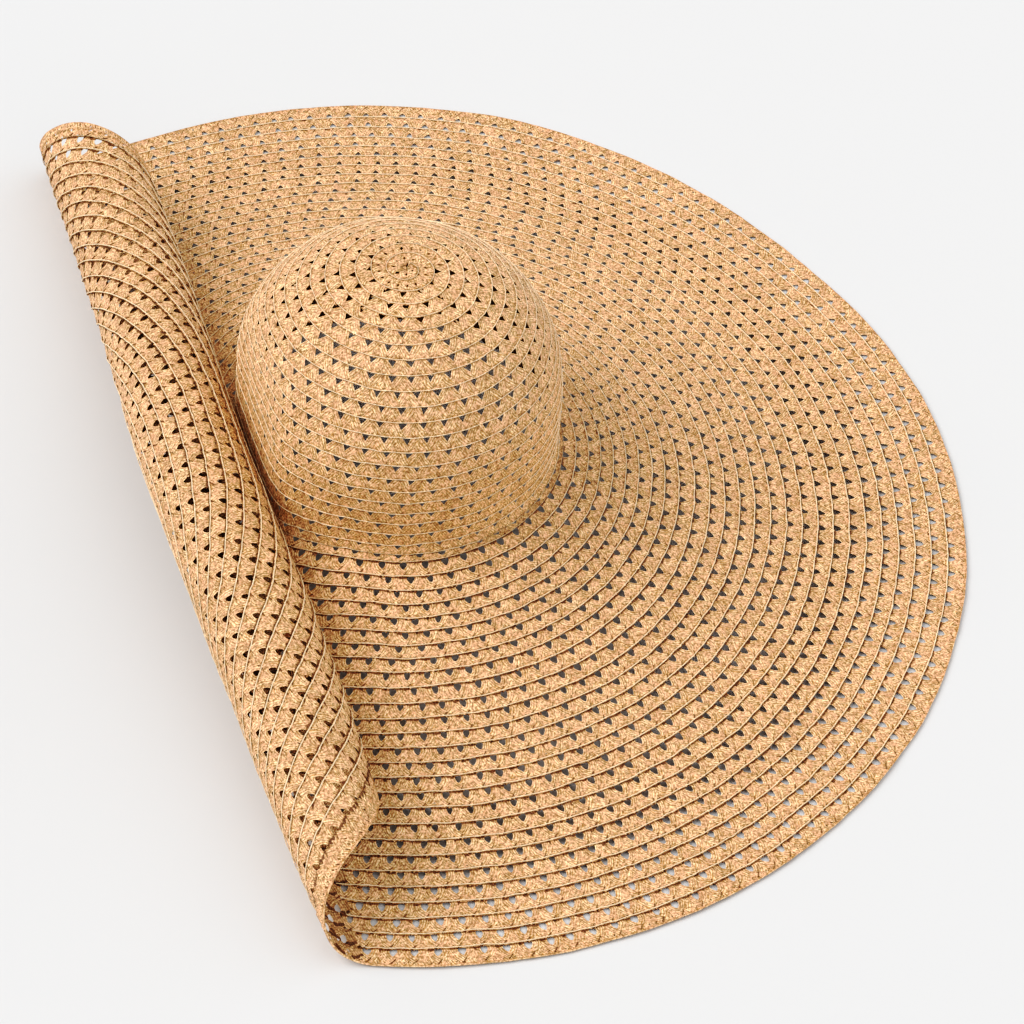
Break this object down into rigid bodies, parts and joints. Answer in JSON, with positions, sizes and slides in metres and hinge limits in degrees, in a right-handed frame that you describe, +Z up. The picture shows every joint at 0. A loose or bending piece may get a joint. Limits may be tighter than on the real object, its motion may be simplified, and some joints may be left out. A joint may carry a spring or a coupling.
{
  "type": "straw hat",
  "caption": "Oversized floppy sun hat of openwork straw braid with a round crown and a very wide brim, one side of the brim rolled up beside the crown.",
  "frame": {"origin": "on the floor under the middle of the hat's outline", "axes": "+Z up along the crown, +Y along the longer side of the outline, the rolled side of the brim towards -X"},
  "size_m": [0.5888, 0.6844, 0.1745],
  "materials": {
    "straw_crown": "matt woven paper straw",
    "straw_brim": "matt woven paper straw",
    "straw_edge": "matt tightly woven paper straw"
  },
  "bodies": {
    "root": {"crown_tip": "straw_crown", "crown": "straw_crown", "brim": "straw_brim", "rim_braid": "straw_edge"}
  },
  "joints": []
}
